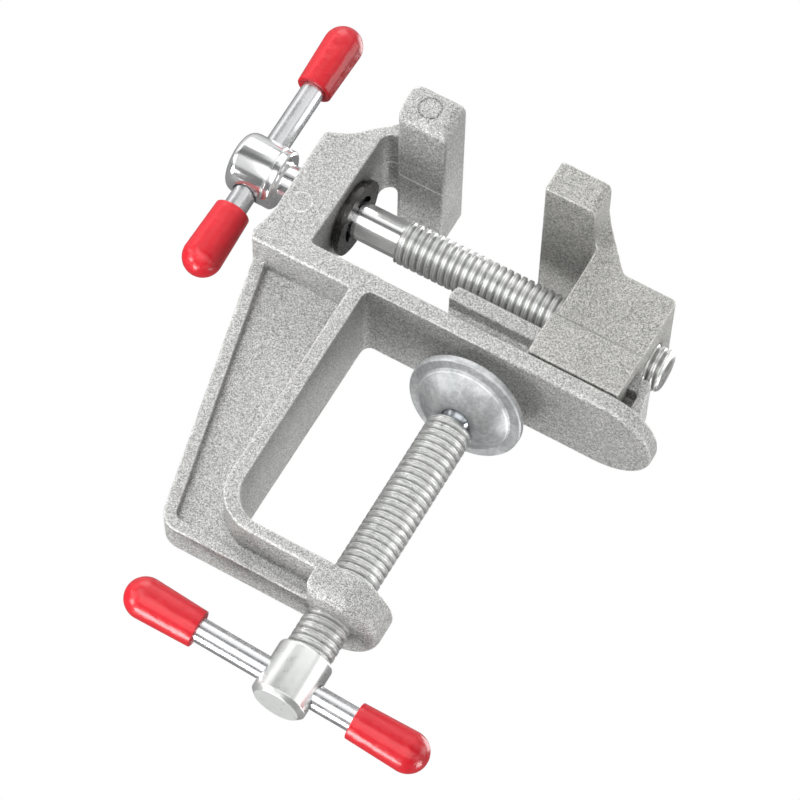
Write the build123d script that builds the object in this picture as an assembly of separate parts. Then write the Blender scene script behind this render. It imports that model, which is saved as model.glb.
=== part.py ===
from build123d import *
import math
import os

os.makedirs("parts", exist_ok=True)

# A small bench vise that clamps to the edge of a table. Millimetres and degrees.
# Origin: on the seat that rests on the table, on the clamp screw's axis, in the mid-plane.
# +X runs towards the moving jaw's end, +Z up, and the object is symmetric about Y = 0.

# C-frame
throat_depth = 21.1
throat_height = 42.65
throat_top_radius = 1.5
throat_low_radius = 5.5
spine_depth = 20.25
spine_lean = 13.2
arm_depth = 5.25
heel_radius = 3.5
rim_thickness = 2.5
arm_rim_thickness = 1.7
web_thickness = 3.0
bead_width = 6.4
bead_thickness = 2.1
frame_draft = 1.15

# Beam
beam_width = 18.9
beam_thickness = 2.9
beam_reach = 29.6
beam_edge_radius = 0.6
beam_back_drop = 1.0
beam_lip = 0.5

# Boss at the arm's end
boss_width = 16.9
boss_reach = 8.2
boss_side_reach = 2.6
boss_back = 4.4
boss_drop = 0.6
boss_corner_radius = 2.6
boss_low_radius = 2.0

# Rail on the beam
rail_start = 10.3
rail_groove_end = 23.5
rail_end_reach = 26.2
rail_head_width = 11.2
rail_neck_width = 5.8
rail_head_height = 2.8
rail_edge_radius = 0.5
rail_start_radius = 1.2

# Wall and jaws
wall_thickness = 8.3
wall_height = 19.3
wall_draft = 3.1
wall_corner_radius = 1.4
neck_rise = 8.1
neck_turn_depth = 3.15
neck_turn_rise = 1.1
neck_fillet = 9.0
jaw_length = 35.6
jaw_underside = 25.3
jaw_root_fillet = 1.3
neck_arch = 1.6
fixed_grip_setback = 0.3
fixed_jaw_depth = 9.2
fixed_jaw_height = 7.0
fixed_jaw_end_radius = 1.8
fixed_jaw_back_radius = 2.0
fixed_jaw_low_radius = 1.8
fixed_jaw_under_radius = 1.3
jaw_opening = 17.7

# Moving jaw
moving_jaw_depth = 9.0
moving_jaw_height = 5.7
moving_jaw_back_radius = 1.2
gusset_width = 16.9
gusset_length = 6.8
gusset_drop = 7.4
gusset_fillet = 2.4
slide_offset = 10.1
slide_length = 15.3
slide_top = 22.8
skirt_overlap = 0.6
skirt_height = 10.9
skirt_roof = 1.29
skirt_fillet = 0.7

# Lead screw
lead_height = 14.9
lead_thread_diameter = 7.3
lead_shank_diameter = 6.3
lead_shank_reach = 9.85
lead_end_reach = 24.6
lead_hub_diameter = 10.3
lead_hub_length = 8.7
lead_hub_gap = 3.7
lead_hub_round = 1.8
hub_groove_width = 0.35
hub_groove_depth = 0.25
hub_groove_offset = 1.3
washer_diameter = 12.0
washer_thickness = 0.8
ring_diameter = 13.2
ring_thickness = 0.8
ring_band = 2.5
ring_prong_width = 2.4
ring_mouth = 4.6
ring_groove_diameter = 5.2
ring_turn = 200.0

# Clamp screw
clamp_thread_diameter = 7.66
clamp_top = 10.1
clamp_hub_diameter = 9.2
clamp_hub_length = 9.3
clamp_hub_bottom = 64.0
clamp_hub_chamfer = 0.8
thread_chamfer = 0.6

# Ball and swivel pad
pivot_drop = 7.9
ball_diameter = 5.2
ball_neck_diameter = 3.6
ball_stem_depth = 4.0
pad_diameter = 19.7
pad_top = 3.2
pad_flange = 1.3
pad_step_diameter = 16.2
pad_step = 0.6
pad_dome_bulge = 0.55
pad_mouth_diameter = 4.9
pad_lip = 0.75
pad_tilt = 14.5

# Tommy bars and their soft caps
bar_diameter = 4.0
lead_bar_free_length = 25.6
clamp_bar_free_length = 27.2
bar_in_cap = 10.7
cap_diameter = 6.8
cap_mouth_diameter = 6.2
cap_length = 12.8
cap_lip_radius = 0.5
lead_bar_shift = 4.1
lead_bar_turn = -1.5
clamp_bar_shift = -2.4
clamp_bar_turn = 6.4
clamp_bar_drop = 0.4

# Clearances
rail_clearance = 0.2
thread_clearance = 0.06
shank_clearance = 0.08
ball_clearance = 0.1
stem_clearance = 0.06
bar_clearance = 0.08
washer_clearance = 0.1

# Places that more than one piece shares
half_beam = beam_width / 2
spine_face = -throat_depth
frame_back = spine_face - spine_depth
arm_top = -throat_height
arm_low = arm_top - arm_depth
boss_low = arm_low - boss_drop
wall_back = frame_back + 0.2
wall_face = wall_back + wall_thickness
wall_top = beam_thickness + wall_height
fixed_grip = spine_face - fixed_grip_setback
fixed_jaw_back = fixed_grip - fixed_jaw_depth
fixed_jaw_top = jaw_underside + fixed_jaw_height
channel_top = lead_height - lead_thread_diameter / 2 - thread_clearance - skirt_roof
rail_head_top = channel_top - rail_clearance
rail_head_low = rail_head_top - rail_head_height
moving_grip = fixed_grip + jaw_opening
moving_jaw_back = moving_grip + moving_jaw_depth
moving_jaw_top = jaw_underside + moving_jaw_height
slide_start = moving_grip + slide_offset
slide_end = slide_start + slide_length
lead_hub_end = wall_back - lead_hub_gap
lead_hub_start = lead_hub_end - lead_hub_length
lead_bar_x = lead_hub_end - lead_hub_length / 2
washer_start = wall_face + washer_clearance
ring_start = washer_start + washer_thickness + washer_clearance / 2
ring_end = ring_start + ring_thickness
clamp_hub_top = -clamp_hub_bottom + clamp_hub_length
clamp_bar_z = -clamp_hub_bottom + clamp_hub_length / 2 - clamp_bar_drop
ball_pivot = (0, 0, -pivot_drop)


def outline(corners):
    """Closed face through (first, second, corner radius) corners."""
    points = [(a, b) for a, b, _ in corners]
    return make_face(FilletPolyline(*points, radius=[r for _, _, r in corners], close=True))


def side_prism(corners, half_width):
    """Side view outline (X, Z), extruded both ways from the mid-plane."""
    return extrude(Plane.XZ * outline(corners), half_width, both=True)


def front_prism(corners, x_from, x_to):
    """Front view outline (Y, Z), extruded along X."""
    return extrude(Plane.YZ.offset(x_from) * outline(corners), x_to - x_from)


def plan_prism(corners, z_from, z_to):
    """Plan outline (X, Y), extruded along Z."""
    return extrude(Plane.XY.offset(z_from) * outline(corners), z_to - z_from)


def lying_cylinder(radius, x_from, x_to, height):
    """Cylinder along X at a height."""
    return extrude(Plane.YZ.offset(x_from) * Pos(0, height) * Circle(radius), x_to - x_from)


def standing_cylinder(radius, z_from, z_to):
    """Cylinder on the clamp screw's axis."""
    return extrude(Plane.XY.offset(z_from) * Circle(radius), z_to - z_from)


def back_edge(z):
    """X of the spine's leaning back edge at a height."""
    return frame_back - z * math.tan(math.radians(spine_lean))


def drafted_half_width(z):
    """Half width of the casting at a height: it narrows away from the beam."""
    if z < 0:
        return half_beam + z * math.tan(math.radians(frame_draft))
    return half_beam - max(z - beam_thickness, 0) * math.tan(math.radians(wall_draft))


def draft_envelope(x_from, x_to):
    """Front view limits of the casting, with its draft up and down."""
    low = boss_low - 2
    high = fixed_jaw_top
    right = [(low, 1), (0, 1), (beam_thickness, 1), (high, 1)]
    corners = [(drafted_half_width(z) * s, z, 0) for z, s in right]
    corners += [(-y, z, 0) for y, z, _ in reversed(corners)]
    return front_prism(corners, x_from, x_to)


def spine_and_arm():
    """T-section C: full-width inner rim, thin web and a narrow bead round the outside."""
    rim = side_prism(
        [
            (spine_face - rim_thickness, beam_thickness / 2, 0),
            (spine_face - rim_thickness, arm_top - arm_rim_thickness, throat_low_radius + arm_rim_thickness),
            (-boss_back / 2, arm_top - arm_rim_thickness - 0.4, 0),
            (-boss_back / 2, arm_top, 0),
            (spine_face, arm_top, throat_low_radius),
            (spine_face, 0, throat_top_radius),
            (0, 0, 0),
            (0, beam_thickness / 2, 0),
        ],
        beam_width,
    )
    rim = rim & draft_envelope(frame_back - 2, beam_reach)
    web = side_prism(
        [
            (frame_back, beam_thickness / 2, 0),
            (back_edge(arm_low), arm_low, heel_radius),
            (-boss_back / 2, arm_low, 0),
            (-boss_back / 2, arm_top, 0),
            (spine_face, arm_top, throat_low_radius),
            (spine_face, beam_thickness / 2, 0),
        ],
        web_thickness / 2,
    )
    lean = math.cos(math.radians(spine_lean))
    inner_low = arm_low + bead_thickness
    bead = side_prism(
        [
            (frame_back, 0, 0),
            (back_edge(arm_low), arm_low, heel_radius),
            (-boss_back / 2, arm_low, 0),
            (-boss_back / 2, inner_low - bead_thickness / 2, 0),
            (back_edge(inner_low) + bead_thickness / lean, inner_low, 1.2),
            (frame_back + bead_thickness / lean, 0, 0),
        ],
        bead_width / 2,
    )
    return rim + web + bead


def beam():
    """Flat plate with a half-round tip, and a thicker stretch behind the throat."""
    tip = beam_reach - half_beam
    length = tip - spine_face
    plan = Pos(tip - length / 2, 0) * Rectangle(length, beam_width) + Pos(tip, 0) * Circle(half_beam)
    plate = extrude(plan, beam_thickness)
    plate = fillet(plate.edges().filter_by(GeomType.CIRCLE), beam_edge_radius)
    back = side_prism(
        [
            (frame_back + 0.1, -beam_back_drop, 0.4),
            (frame_back - beam_lip, beam_thickness / 4, 1.0),
            (wall_back, beam_thickness, 0),
            (spine_face + 1, beam_thickness, 0),
            (spine_face + 1, beam_thickness / 2, 0),
            (spine_face - rim_thickness / 2, -beam_back_drop, 0),
        ],
        half_beam,
    )
    return plate + back


def boss():
    """Block that carries the clamp screw, round at its end and along its lower edge."""
    half = boss_width / 2
    plan = make_face(
        Polyline((boss_side_reach, half), (-boss_back, half), (-boss_back, -half), (boss_side_reach, -half))
        + ThreePointArc((boss_side_reach, -half), (boss_reach, 0), (boss_side_reach, half))
    )
    block = extrude(Plane.XY.offset(boss_low) * plan, arm_top - boss_low)
    upright = block.edges().filter_by(Axis.Z)
    block = fillet(upright.group_by(Axis.X)[-1], boss_corner_radius)
    block = fillet(block.edges().group_by(Axis.Z)[0], boss_low_radius)
    return block & draft_envelope(-boss_back - 1, boss_reach + 1)


def rail():
    """T-rail with open grooves at its start and a solid rounded stop at its end."""
    head = rail_head_width / 2
    neck = rail_neck_width / 2
    section = [
        (-neck, beam_thickness / 2, 0),
        (neck, beam_thickness / 2, 0),
        (neck, rail_head_low, 0.4),
        (head, rail_head_low, rail_edge_radius),
        (head, rail_head_top, rail_edge_radius),
        (-head, rail_head_top, rail_edge_radius),
        (-head, rail_head_low, rail_edge_radius),
        (-neck, rail_head_low, 0.4),
    ]
    bar = front_prism(section, -rail_start, rail_groove_end)
    bar = bar & side_prism(
        [
            (-rail_start + 0.6, 0, 0),
            (-rail_start + 0.6, rail_head_low, 0.3),
            (-rail_start, rail_head_low, 0.3),
            (-rail_start, rail_head_top, rail_start_radius),
            (rail_groove_end, rail_head_top, 0),
            (rail_groove_end, 0, 0),
        ],
        head,
    )
    end = side_prism(
        [
            (rail_groove_end, beam_thickness / 2, 0),
            (rail_groove_end, rail_head_top, 0),
            (rail_groove_end + 0.9, rail_head_top, 0.85),
            (rail_groove_end + 1.9, beam_thickness + 1.7, 2.0),
            (rail_end_reach, beam_thickness, 0),
            (rail_end_reach, beam_thickness / 2, 0),
        ],
        head,
    )
    corner = 1.8
    end = end & plan_prism(
        [
            (rail_groove_end - 1, -head, 0),
            (rail_end_reach, -head, corner),
            (rail_end_reach, head, corner),
            (rail_groove_end - 1, head, 0),
        ],
        0,
        rail_head_top,
    )
    return bar + end


def wall_and_fixed_jaw():
    """Upright wall for the lead screw, rising into the overhanging fixed jaw."""
    neck_top = wall_top + neck_rise
    side = side_prism(
        [
            (wall_back - 0.1, beam_thickness / 2, 0),
            (wall_back + 0.3, beam_thickness + 3, 3),
            (wall_back - 0.2, wall_top, wall_corner_radius),
            (wall_back + neck_turn_depth, wall_top + neck_turn_rise, neck_fillet),
            (fixed_jaw_back, neck_top, 0),
            (fixed_jaw_back + fixed_jaw_depth / 2, neck_top, 0),
            (fixed_jaw_back + fixed_jaw_depth / 2, jaw_underside + neck_arch, 0),
            (wall_face, jaw_underside + neck_arch, 1.9),
            (wall_face, beam_thickness, 0.8),
            (wall_face + 2, beam_thickness, 0),
            (wall_face + 2, beam_thickness / 2, 0),
        ],
        half_beam + jaw_root_fillet,
    )
    half = drafted_half_width(wall_top)
    lower = side & draft_envelope(frame_back - 2, spine_face)
    root = plan_prism(
        [
            (wall_back - 1, -half, 0),
            (fixed_jaw_back, -half, jaw_root_fillet),
            (fixed_jaw_back, -half - jaw_root_fillet - 1, 0),
            (fixed_jaw_back + 1, -half - jaw_root_fillet - 1, 0),
            (fixed_jaw_back + 1, half + jaw_root_fillet + 1, 0),
            (fixed_jaw_back, half + jaw_root_fillet + 1, 0),
            (fixed_jaw_back, half, jaw_root_fillet),
            (wall_back - 1, half, 0),
        ],
        wall_top,
        neck_top,
    )
    end = jaw_length / 2
    jaw = plan_prism(
        [
            (fixed_jaw_back - 1, -end, 0),
            (fixed_grip, -end, fixed_jaw_end_radius),
            (fixed_grip, end, fixed_jaw_end_radius),
            (fixed_jaw_back - 1, end, 0),
        ],
        jaw_underside,
        fixed_jaw_top + 1,
    )
    jaw = jaw & front_prism(
        [
            (-end, jaw_underside, fixed_jaw_low_radius),
            (end, jaw_underside, fixed_jaw_low_radius),
            (end, fixed_jaw_top, fixed_jaw_low_radius / 2),
            (-end, fixed_jaw_top, fixed_jaw_low_radius / 2),
        ],
        fixed_jaw_back - 2,
        fixed_grip + 2,
    )
    jaw = jaw & side_prism(
        [
            (fixed_jaw_back + 0.4, jaw_underside, fixed_jaw_under_radius),
            (fixed_grip + 1, jaw_underside, 0),
            (fixed_grip + 1, fixed_jaw_top, 0),
            (fixed_jaw_back, fixed_jaw_top, fixed_jaw_back_radius),
        ],
        end + 1,
    )
    return lower + (side & root) + jaw


def body_casting():
    """The one-piece frame: C, beam, rail, wall, fixed jaw and boss, with both screw holes."""
    casting = spine_and_arm() + beam() + boss() + rail() + wall_and_fixed_jaw()
    clamp_hole = standing_cylinder(clamp_thread_diameter / 2 + thread_clearance, boss_low - 1, arm_top + 1)
    shank = lead_shank_diameter / 2 + shank_clearance
    lead_hole = lying_cylinder(shank, frame_back - 2, wall_face + 2, lead_height)
    return casting - clamp_hole - lead_hole


def moving_jaw():
    """Jaw bar on a gusseted block whose skirt wraps the rail's head."""
    end = jaw_length / 2
    half = gusset_width / 2
    tip = 0.4
    side = side_prism(
        [
            (moving_grip, jaw_underside, tip),
            (slide_start, jaw_underside, 1.2),
            (slide_start, channel_top - 1, 0),
            (slide_end, channel_top - 1, 0),
            (slide_end, slide_top, 0.8),
            (moving_jaw_back + gusset_length, slide_top + 0.1, 1.2),
            (moving_jaw_back + 0.6, slide_top + gusset_drop, 0.3),
            (moving_jaw_back, moving_jaw_top, moving_jaw_back_radius),
            (moving_grip, moving_jaw_top, tip),
        ],
        end,
    )
    upper = side & plan_prism(
        [
            (moving_grip, -end, tip),
            (moving_jaw_back, -end, moving_jaw_back_radius),
            (moving_jaw_back, -half, gusset_fillet),
            (slide_end + 1, -half, 0),
            (slide_end + 1, half, 0),
            (moving_jaw_back, half, gusset_fillet),
            (moving_jaw_back, end, moving_jaw_back_radius),
            (moving_grip, end, tip),
        ],
        slide_top - 0.5,
        moving_jaw_top,
    )
    block = side & plan_prism(
        [
            (slide_start - 1, -half, 0),
            (slide_end + 1, -half, 0),
            (slide_end + 1, half, 0),
            (slide_start - 1, half, 0),
        ],
        channel_top,
        slide_top,
    )
    head = rail_head_width / 2 + rail_clearance
    neck = rail_neck_width / 2 + rail_clearance
    skirt_low = beam_thickness + rail_clearance
    lip_top = rail_head_low - rail_clearance
    blend = half_beam - half
    skirt = front_prism(
        [
            (-half_beam, skirt_low, 0.3),
            (-neck, skirt_low, 0.3),
            (-neck, lip_top, 0.3),
            (-head, lip_top, 0),
            (-head, channel_top, 0),
            (head, channel_top, 0),
            (head, lip_top, 0),
            (neck, lip_top, 0.3),
            (neck, skirt_low, 0.3),
            (half_beam, skirt_low, 0.3),
            (half_beam, skirt_height, skirt_fillet / 2),
            (half, skirt_height + blend / 2, skirt_fillet),
            (half - 1, skirt_height + blend * 2, 0),
            (-half + 1, skirt_height + blend * 2, 0),
            (-half, skirt_height + blend / 2, skirt_fillet),
            (-half_beam, skirt_height, skirt_fillet / 2),
        ],
        slide_start - skirt_overlap,
        slide_end,
    )
    hole = lead_thread_diameter / 2 + thread_clearance
    return upper + block + skirt - lying_cylinder(hole, moving_grip, slide_end + 1, lead_height)


def lead_screw():
    """Lead screw lying along X: hub with its cross hole, shank with a ring groove, thread."""
    hub = lead_hub_diameter / 2
    shank = lead_shank_diameter / 2
    thread = lead_thread_diameter / 2
    thread_start = wall_face + lead_shank_reach
    groove = ring_groove_diameter / 2
    mark = lead_hub_end - hub_groove_offset
    profile = outline(
        [
            (lead_hub_start, 0, 0),
            (lead_hub_start, hub, lead_hub_round),
            (mark - hub_groove_width, hub, 0),
            (mark - hub_groove_width, hub - hub_groove_depth, 0),
            (mark, hub - hub_groove_depth, 0),
            (mark, hub, 0),
            (lead_hub_end, hub, 0.5),
            (lead_hub_end, shank, 0),
            (ring_start - washer_clearance / 2, shank, 0),
            (ring_start - washer_clearance / 2, groove, 0),
            (ring_end + washer_clearance / 2, groove, 0),
            (ring_end + washer_clearance / 2, shank, 0),
            (thread_start, shank, 0),
            (thread_start + thread_chamfer, thread, 0),
            (lead_end_reach - thread_chamfer, thread, 0),
            (lead_end_reach, thread - thread_chamfer, 0),
            (lead_end_reach, 0, 0),
        ]
    )
    screw = revolve(Plane.XZ * profile, Axis.X)
    hole = Cylinder(bar_diameter / 2 + bar_clearance, lead_hub_diameter * 2)
    screw = screw - Pos(lead_bar_x, 0, 0) * hole
    return Pos(0, 0, lead_height) * Rot(X=-lead_bar_turn) * screw


def thrust_washer():
    """Flat washer on the shank, against the wall."""
    bore = lead_shank_diameter / 2 + shank_clearance
    disc = lying_cylinder(washer_diameter / 2, washer_start, washer_start + washer_thickness, lead_height)
    return disc - lying_cylinder(bore, washer_start - 1, ring_start, lead_height)


def retaining_ring():
    """Open ring with three prongs that reach into the shank's groove."""
    band = Circle(ring_diameter / 2) - Circle(ring_diameter / 2 - ring_band)
    reach = ring_diameter / 2 - ring_band / 2
    inner = ring_groove_diameter / 2 + shank_clearance
    for angle in (0, 125, -125):
        prong = Pos((reach + inner) / 2, 0) * Rectangle(reach - inner, ring_prong_width)
        band += Rot(Z=angle) * prong
    band -= Rot(Z=180) * Pos(ring_diameter / 2, 0) * Rectangle(ring_diameter / 2, ring_mouth)
    band -= Circle(inner)
    ring = extrude(Plane.YZ.offset(ring_start) * Rot(Z=ring_turn) * band, ring_thickness)
    return Pos(0, 0, lead_height) * ring


def bar_blank(free_length):
    """Straight bar along Z with chamfered ends, centred between its cap mouths."""
    bar = Cylinder(bar_diameter / 2, free_length + 2 * bar_in_cap)
    return chamfer(bar.edges().filter_by(GeomType.CIRCLE), 0.3)


def cap_blank(free_length):
    """Soft cap on the upper end of the bar: tapered, round-ended, with a blind bore."""
    mouth = free_length / 2
    crown = cap_diameter / 2
    profile = make_face(
        FilletPolyline(
            (bar_diameter / 2, mouth),
            (cap_mouth_diameter / 2, mouth),
            (crown, mouth + cap_length - crown),
            radius=[cap_lip_radius],
        )
        + ThreePointArc(
            (crown, mouth + cap_length - crown),
            (crown * math.sin(math.pi / 4), mouth + cap_length - crown * (1 - math.cos(math.pi / 4))),
            (0, mouth + cap_length),
        )
        + Polyline(
            (0, mouth + cap_length),
            (0, mouth + bar_in_cap),
            (bar_diameter / 2, mouth + bar_in_cap),
            (bar_diameter / 2, mouth),
        )
    )
    return revolve(Plane.XZ * profile, Axis.Z)


def on_lead_hub(blank, flip=0):
    """Places a bar piece in the lead screw's cross hole."""
    place = Pos(lead_bar_x, 0, lead_height) * Rot(X=-lead_bar_turn) * Pos(0, 0, lead_bar_shift)
    return place * Rot(Y=flip) * blank


def on_clamp_hub(blank, flip=0):
    """Places a bar piece in the clamp screw's cross hole."""
    place = Pos(0, 0, clamp_bar_z) * Rot(Z=clamp_bar_turn) * Rot(Y=90) * Pos(0, 0, clamp_bar_shift)
    return place * Rot(Y=flip) * blank


def clamp_screw():
    """Clamp screw standing on Z: hub with its cross hole, thread, and a bore for the ball's stem."""
    hub = clamp_hub_diameter / 2
    thread = clamp_thread_diameter / 2
    profile = outline(
        [
            (0, -clamp_hub_bottom, 0),
            (hub - clamp_hub_chamfer, -clamp_hub_bottom, 0),
            (hub, -clamp_hub_bottom + clamp_hub_chamfer, 0),
            (hub, clamp_hub_top, 0.5),
            (thread, clamp_hub_top, 0),
            (thread, -clamp_top - thread_chamfer, 0),
            (thread - thread_chamfer, -clamp_top, 0),
            (0, -clamp_top, 0),
        ]
    )
    screw = revolve(Plane.XZ * profile, Axis.Z)
    bore = ball_neck_diameter / 2 + stem_clearance
    screw = screw - standing_cylinder(bore, -clamp_top - ball_stem_depth - stem_clearance, 0)
    hole = Rot(Y=90) * Cylinder(bar_diameter / 2 + bar_clearance, clamp_hub_diameter * 2)
    return screw - Pos(0, 0, clamp_bar_z) * Rot(Z=clamp_bar_turn) * hole


def clamp_ball():
    """Ball on a stem that turns in the clamp screw's end and carries the pad."""
    stem = standing_cylinder(ball_neck_diameter / 2, -clamp_top - ball_stem_depth, -pivot_drop)
    return stem + Pos(ball_pivot) * Sphere(ball_diameter / 2)


def pad_blank():
    """Swivel pad on its own axis, with the ball's centre at the origin and the grip face up."""
    socket = ball_diameter / 2 + ball_clearance
    mouth = pad_mouth_diameter / 2
    drop = math.sqrt(socket**2 - mouth**2)
    rim = pad_diameter / 2
    step = pad_step_diameter / 2
    ledge = pad_top - pad_flange
    start = (step - 0.25, ledge - pad_step)
    end = (mouth + pad_lip, -drop)
    run = math.hypot(start[0] - end[0], start[1] - end[1])
    middle = (
        (start[0] + end[0]) / 2 + pad_dome_bulge * (start[1] - end[1]) / run,
        (start[1] + end[1]) / 2 - pad_dome_bulge * (start[0] - end[0]) / run,
    )
    profile = make_face(
        Polyline(end, (mouth, -drop))
        + ThreePointArc((mouth, -drop), (socket * math.cos(0.4), socket * math.sin(0.4)), (0, socket))
        + Polyline((0, socket), (0, pad_top), (rim - 0.3, pad_top), (rim, pad_top - 0.3))
        + Polyline((rim, pad_top - 0.3), (rim, ledge + 0.2), (rim - 0.2, ledge), (step, ledge), start)
        + ThreePointArc(start, middle, end)
    )
    return revolve(Plane.XZ * profile, Axis.Z)


def clamp_pad():
    """Pad at rest: its far side hangs low on the ball."""
    return Pos(ball_pivot) * Rot(X=-pad_tilt) * pad_blank()


pieces = {
    "body_casting": body_casting(),
    "moving_jaw": moving_jaw(),
    "lead_screw": lead_screw(),
    "thrust_washer": thrust_washer(),
    "retaining_ring": retaining_ring(),
    "lead_bar": on_lead_hub(bar_blank(lead_bar_free_length)),
    "lead_cap_upper": on_lead_hub(cap_blank(lead_bar_free_length)),
    "lead_cap_lower": on_lead_hub(cap_blank(lead_bar_free_length), 180),
    "clamp_screw": clamp_screw(),
    "clamp_ball": clamp_ball(),
    "clamp_pad": clamp_pad(),
    "clamp_bar": on_clamp_hub(bar_blank(clamp_bar_free_length)),
    "clamp_cap_right": on_clamp_hub(cap_blank(clamp_bar_free_length)),
    "clamp_cap_left": on_clamp_hub(cap_blank(clamp_bar_free_length), 180),
}

for name, piece in pieces.items():
    piece.label = name
    export_step(piece, f"parts/{name}.step")
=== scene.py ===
"""Looks of a small cast table vise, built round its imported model. Profiles are in millimetres."""

import math

import bmesh
import bpy
import numpy as np
from mathutils import Matrix, Vector


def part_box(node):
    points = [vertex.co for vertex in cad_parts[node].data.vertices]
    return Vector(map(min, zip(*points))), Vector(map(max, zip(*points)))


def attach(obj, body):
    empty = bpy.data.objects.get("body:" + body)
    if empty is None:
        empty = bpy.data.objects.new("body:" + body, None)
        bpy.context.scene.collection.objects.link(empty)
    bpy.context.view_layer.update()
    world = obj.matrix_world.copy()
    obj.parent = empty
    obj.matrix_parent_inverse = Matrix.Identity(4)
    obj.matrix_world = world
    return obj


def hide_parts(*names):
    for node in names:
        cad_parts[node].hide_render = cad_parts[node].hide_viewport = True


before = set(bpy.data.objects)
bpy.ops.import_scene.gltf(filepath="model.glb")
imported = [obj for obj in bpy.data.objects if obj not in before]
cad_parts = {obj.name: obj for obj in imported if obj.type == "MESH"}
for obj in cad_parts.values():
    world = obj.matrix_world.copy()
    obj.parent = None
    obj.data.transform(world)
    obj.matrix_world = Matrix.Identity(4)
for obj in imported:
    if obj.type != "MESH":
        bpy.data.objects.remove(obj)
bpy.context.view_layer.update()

MM = 0.001
FULL_TURN = 2 * math.pi
scene = bpy.context.scene

# Lead screw, lying along X. END_STEPS are pairs of distance before the end and loss of radius
LEAD_Z = 14.9
LEAD_HUB_START = -53.55
LEAD_HUB_END = -44.85
LEAD_HUB_R = 5.15
LEAD_HUB_CROWN = 1.8
LEAD_HUB_EDGE = 0.5
HUB_LINE_PLACE = 1.55
HUB_LINE_HALF = 0.2
HUB_LINE_DEPTH = 0.22
HUB_LINE_EDGE = 0.12
LEAD_SHANK_R = 3.15
SHANK_CHAMFER = 0.3
RING_GROOVE_START = -31.9
RING_GROOVE_END = -31.1
RING_GROOVE_R = 2.6
LEAD_RELIEF_LENGTH = 0.3
LEAD_RELIEF_DEPTH = 0.1
LEAD_THREAD_START = -23.0
LEAD_THREAD_RISE = 0.35
LEAD_THREAD_END = 24.6
LEAD_THREAD_R = 3.65
LEAD_THREAD_FADE = 0.5
LEAD_THREAD_STOP = 0.15
LEAD_END_STEPS = ((0.7, 0), (0.45, 0.2), (0.1, 0.52), (0, 0.72))
LEAD_END_FACE_R = 1.2

# Clamp screw, standing along Z. Faces with a direction along Z below END_FACE are the hub's matt end
CLAMP_HUB_LOW = -64.0
CLAMP_HUB_HIGH = -54.7
CLAMP_HUB_R = 4.6
CLAMP_CHAMFER_WIDTH = 0.8
CLAMP_CHAMFER_HEIGHT = 0.75
CLAMP_CHAMFER_EDGE = 0.15
CLAMP_HUB_EDGE = 0.45
CLAMP_END_FACE = -0.9
CLAMP_THREAD_TOP = -10.1
CLAMP_THREAD_R = 3.83
CLAMP_THREAD_START = 0.01
CLAMP_THREAD_STOP = 0.05
CLAMP_END_STEPS = ((0.7, 0), (0.4, 0.25), (0, 0.62))
CLAMP_BORE_R = 1.86
CLAMP_BORE_DEPTH = 4.06

# Both threads. The shares are parts of half a pitch, from the crest's middle to the valley's
PITCH = 1.25
THREAD_DEPTH = 0.52
CREST_SHARE = 0.46
VALLEY_SHARE = 0.9
PLAIN_CORE_R = 2.0
STATIONS_PER_PITCH = 24
MARKS_PER_PITCH = 11
MARK_LENGTH = 1.2

# Ball and pad. S is along the pad's own axis from the ball's middle, and the rim is (s, radius, rounding)
PIVOT_Z = -7.9
BALL_R = 2.6
BALL_NECK_R = 1.8
BALL_STEM_DEPTH = 4.0
SOCKET_R = 2.7
SOCKET_MOUTH_R = 2.45
SOCKET_LIP = (-0.05, 0.3)
PAD_TILT = 14.5
PAD_COLLAR = 0.75
PAD_STEP_S = 1.3
PAD_STEP_R = 7.85
PAD_DOME_CROWN = 0.55
STEP_HIGHLIGHT_HALF = 0.03
STEP_HIGHLIGHT_FADE = 0.11
TURNING_LINES = 7
PAD_FACE_S = 3.2
PAD_FACE_R = 5
PAD_RIM = (
    (1.9, 8.1, 0.12),
    (1.88, 9.65, 0.2),
    (2.2, 9.85, 0.12),
    (PAD_FACE_S, 9.85, 0.25),
    (PAD_FACE_S, 9.2, 0),
)

# Bars and caps. The lip is (past the mouth, radius, rounding), a wave is (lobes, twist per mm, height)
BAR_R = 2.0
BAR_CHAMFER = 0.3
BAR_IN_CAP = 10.7
BAR_HOLE_R = 2.22
BAR_HOLE_REACH = 9
CAP_R = 3.4
CAP_LENGTH = 12.795
CAP_BORE_R = 2.01
CAP_LIP = ((0.25, CAP_BORE_R, 0), (0.02, 2.35, 0.1), (0, 2.8, 0.1), (0.12, 3.08, 0.15), (1.1, 3.12, 0.5))
CAP_EVEN_R = 2.2
CAP_SWELL = 0.004
CAP_SWELL_BASE = 1.6
CAP_WAVES = ((2, 0.5, 1.0), (3, -0.7, 0.6))
LEAD_FREE = 25.6
LEAD_BAR_X = -49.2
LEAD_BAR_SHIFT = 4.1
LEAD_BAR_TURN = -1.5
CLAMP_FREE = 27.2
CLAMP_BAR_Z = -59.75
CLAMP_BAR_SHIFT = -2.4
CLAMP_BAR_TURN = 6.4

# Castings. A ring mark is (x, z, radius). A FACE value is a face's direction along one axis, from -1 to 1
BODY_VOXEL = 0.26
JAW_VOXEL = 0.24
CASTING_PASSES = 3
GRAIN = 0.13
UNDER_GRAIN = 0.17
JAW_RING = (-26.2, 29.05, 1.85)
WALL_RING = (-37.9, 8.6, 1.8)
RING_WIDTH = 0.2
RING_FACE = 0.9
UNDER_FACE = -0.6
SEAM_END_FACE = 0.7
SEAM_HALF = 0.11
SEAM_FADE = 0.24
SEAM_LOW_Z = 20
BASE_LEVEL = 0.02
DARKEST_LEVEL = 0.08

# Angles in degrees above which an edge stays crisp
SCREW_CREASE = 38
BALL_CREASE = 40
PAD_CREASE = 42
BAR_CREASE = 30
CAP_CREASE = 50

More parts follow.
